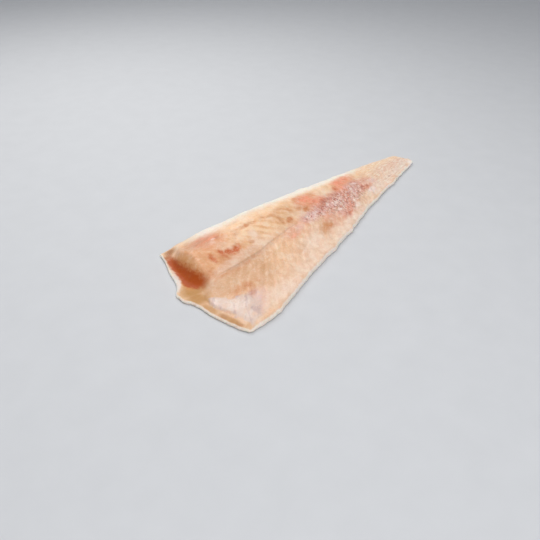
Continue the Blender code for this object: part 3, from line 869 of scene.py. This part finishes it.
def seam_shade_line(net, colour):
    """A darker line of painted shade along the seam's groove, behind the head."""
    beside = net.seam_gap.ramp(1.2, -0.2) * net.seam_gap.ramp(-4.5, -0.4)
    crease = beside * net.x.ramp(-20.0, -70.0) * net.x.ramp(-104.0, -88.0)
    # Painted shade in the groove where the loin meets the belly.
    return net.paint(colour, SEAM, crease * 0.5)


def belly_front(net, colour):
    """The amber rim with its brown spots, and the folded milky lining behind it."""
    colour = net.paint(colour, AMBER, net.marks(net.bent, AMBER_MARKS, 0.3))
    colour = net.paint(colour, WEDGE, net.marks(net.bent, SPOT_MARKS))
    scaled = {0: net.turned(net.bent, FOLD_TURN), 1: FOLD_SCALE}
    folds = net.cloud(net.node("ShaderNodeVectorMath", {"operation": "MULTIPLY"}, scaled), 1.0, 2.0, 0.5)
    colour = net.paint(colour, LINING, net.lining * (0.55 + 0.5 * net.flecks))
    colour = net.paint(colour, FOLD, folds.ramp(0.50, 0.64) * net.lining * 0.7)
    whitest = net.marks(net.bent, WHITEST_MARKS, 0.1) * net.lining
    return net.paint(colour, SILVER, whitest * (0.1 + 0.7 * net.flecks))


def cut_front(net, colour):
    """The brown cut front of the loin with its tan lip; returns how brown it is as well."""
    x, y = net.x, net.y
    streaks = net.drawn_out(x, y, STREAKS)
    share = net.nose + 0.25 * (net.specks - 0.5) + 0.3 * (streaks - 0.5)
    # Towards the back edge the brown starts before the foot: painted shade in the hollow there.
    left = share + 0.07 - y.ramp(9.0, -2.0, 0.39) + y.ramp(22.0, 34.0, 0.10)
    right = 0.57 + y.ramp(20.0, 8.0, 0.13) - y.ramp(28.0, 38.0, 0.16) - share
    facing = left.ramp(-0.20, 0.18) * right.ramp(-0.20, 0.18) * y.ramp(-5.0, 4.0) * y.ramp(43.0, 34.0)
    lip = share.ramp(-0.35, 0.0) * share.ramp(0.98, 0.5) * y.ramp(1.0, 9.0) * y.ramp(36.0, 27.0)
    colour = net.paint(colour, LIP_TAN, lip * 0.85)
    return net.paint(colour, BROWN, facing * (0.78 + 0.5 * streaks)), facing


def fringe_and_rim_highlight(net, colour):
    """The whitish fringe below the cut front, and the pale rim all round with a painted highlight."""
    y = net.y
    edge_gap = net.from_head + 2.4 * net.specks + y.ramp(18.0, 30.0, 1.4)
    fringe = edge_gap.ramp(5.6, 3.6) * y.ramp(6.0, 11.0) * y.ramp(36.0, 28.0)
    colour = net.paint(colour, FRINGE, fringe * (0.5 + y.ramp(27.0, 15.0, 0.4)))
    # Painted highlight over the pale rim and side wall all round.
    return net.paint(colour, RIM, net.inward.ramp(1.4, 0.3) * (0.35 + 0.8 * net.specks))


def under_colour(net):
    """The side that the skin was cut from: pale flesh, thin silvery skins and a darker midline."""
    gap = abs(net.y - UNDER_LINE_START - UNDER_LINE_SLOPE * net.x)
    run = (net.x + gap * FLAKE_SLANT) / FLAKE_PITCH + 0.5 * net.specks
    skin = abs(run.part_of_one() - 0.5).ramp(0.36, 0.5)
    colour = net.paint(UNDER_TAN, UNDER_PALE, net.specks.ramp(0.35, 0.65))
    colour = net.paint(colour, UNDER_LINE, gap.ramp(9.0, 1.0) * 0.7 * net.specks.ramp(0.2, 0.6))
    return net.paint(colour, UNDER_SKIN, skin * 0.6)


# The layers of colour over the lobes, from the lowest up.
LAYERS = (flake_marks, back_band_and_highlight, blood_marks, torn_middle, fine_grain, silver_skins_and_glints, seam_shade_line,
          belly_front)


def flesh_material():
    net = FleshNet()
    colour = lobe_colours(net)
    for layer in LAYERS:
        colour = layer(net, colour)
    colour, facing = cut_front(net, colour)
    colour = net.paint(fringe_and_rim_highlight(net, colour), under_colour(net), net.under)

    roughness = 0.36 + 0.22 * net.specks + 0.08 * net.strokes - 0.1 * net.hollow
    coat = (0.30 - 0.25 * net.specks + 0.1 * net.lining + 0.3 * net.rough - 0.4 * facing).at_least(0.0)
    torn_relief = net.rough * (3.2 * net.tangle.at_most(0.14) + 2.4 * net.grit)
    bump = 0.20 * net.specks + 0.08 * net.fibres + 0.24 * net.strokes + torn_relief
    shader = net.shader.inputs
    shader["IOR"].default_value = FLESH_IOR
    shader["Subsurface Weight"].default_value = LIGHT_INSIDE
    shader["Subsurface Radius"].default_value = LIGHT_REACH
    shader["Subsurface Scale"].default_value = LIGHT_REACH_SCALE
    shader["Coat Roughness"].default_value = COAT_ROUGHNESS
    shader["Coat IOR"].default_value = COAT_IOR
    return net.finish(colour, roughness, coat, bump)


def floor_material():
    net = Net("pale_floor")
    grain = net.cloud(net.place(1.0), *FLOOR_GRAIN)
    colour = net.paint(FLOOR_GREY, FLOOR_PALE, grain)
    return net.finish(colour, 0.75 + 0.1 * grain, 0.0, 0.02 * grain)


def make_piece(name, bm, material):
    mesh = bpy.data.meshes.new(name)
    bm.to_mesh(mesh)
    bm.free()
    mesh.shade_smooth()
    mesh.materials.append(material)
    piece = bpy.data.objects.new(name, mesh)
    bpy.context.scene.collection.objects.link(piece)
    return piece


def make_fillet():
    lengthwise, crosswise = grid_lines(LENGTH_LINES), grid_lines(WIDTH_LINES)
    bm = make_blank(len(lengthwise) - 1, len(crosswise) - 1)
    follows = shape_fillet(bm, lengthwise, crosswise)
    fillet = make_piece("cod_flesh", bm, flesh_material())
    for name, values in follows.items():
        layer = fillet.data.attributes.new(name, "FLOAT", "POINT")
        layer.data.foreach_set("value", values.astype(np.float32))
    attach(fillet, "root")
    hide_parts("fillet")
    return fillet


def make_floor():
    bm = bmesh.new()
    bmesh.ops.create_grid(bm, x_segments=8, y_segments=8, size=4.0)
    floor = make_piece("floor", bm, floor_material())


# The camera, which looks down the fillet from beyond its head end.
CAMERA_PLACE = (-337.2, -220.2, 221.0)
CAMERA_RIGHT = (0.61822, -0.78582, 0.01746)
CAMERA_UP = (0.42220, 0.35073, 0.83591)
CAMERA_BACK = (-0.66299, -0.50941, 0.54859)
SENSOR_WIDTH = 36.0
FOCAL_SHARE = 1.23980

# Soft lights, as (name, place and aim in metres, size in metres, watts, colour).
LIGHTS = (("window_behind", (0.12, 0.38, 0.50), (-0.02, 0.0, 0.0), 0.50, 1.7, (1.0, 0.98, 0.95)),
          ("ceiling", (-0.12, -0.04, 0.75), (-0.02, 0.0, 0.0), 0.60, 1.7, (1.0, 1.0, 1.0)),
          ("fill_front", (-0.40, -0.50, 0.50), (-0.04, 0.0, 0.0), 0.60, 1.9, (1.0, 0.99, 0.98)))
SKY_COLOUR = (0.93, 0.95, 1.0, 1.0)
SKY_STRENGTH = 0.35


def make_camera():
    lens = bpy.data.cameras.new("photo_view")
    lens.sensor_width = SENSOR_WIDTH
    lens.lens = SENSOR_WIDTH * FOCAL_SHARE
    lens.clip_start = 0.01
    camera = bpy.data.objects.new("photo_view", lens)
    turn = Matrix((CAMERA_RIGHT, CAMERA_UP, CAMERA_BACK)).transposed()
    camera.matrix_world = Matrix.Translation(Vector(CAMERA_PLACE) * MM) @ turn.to_4x4()
    bpy.context.scene.collection.objects.link(camera)
    bpy.context.scene.camera = camera


def make_lights():
    for name, place, aim, size, watts, colour in LIGHTS:
        lamp = bpy.data.lights.new(name, "AREA")
        lamp.shape = "DISK"
        lamp.size = size
        lamp.energy = watts
        lamp.color = colour
        light = bpy.data.objects.new(name, lamp)
        light.location = place
        light.rotation_euler = (Vector(aim) - Vector(place)).to_track_quat("-Z", "Y").to_euler()
        bpy.context.scene.collection.objects.link(light)
    sky = bpy.data.worlds.new("soft_sky")
    sky.use_nodes = True
    background = sky.node_tree.nodes["Background"]
    background.inputs["Color"].default_value = SKY_COLOUR
    background.inputs["Strength"].default_value = SKY_STRENGTH
    bpy.context.scene.world = sky


make_fillet()
make_floor()
make_camera()
make_lights()
bpy.context.scene.view_settings.view_transform = "Standard"
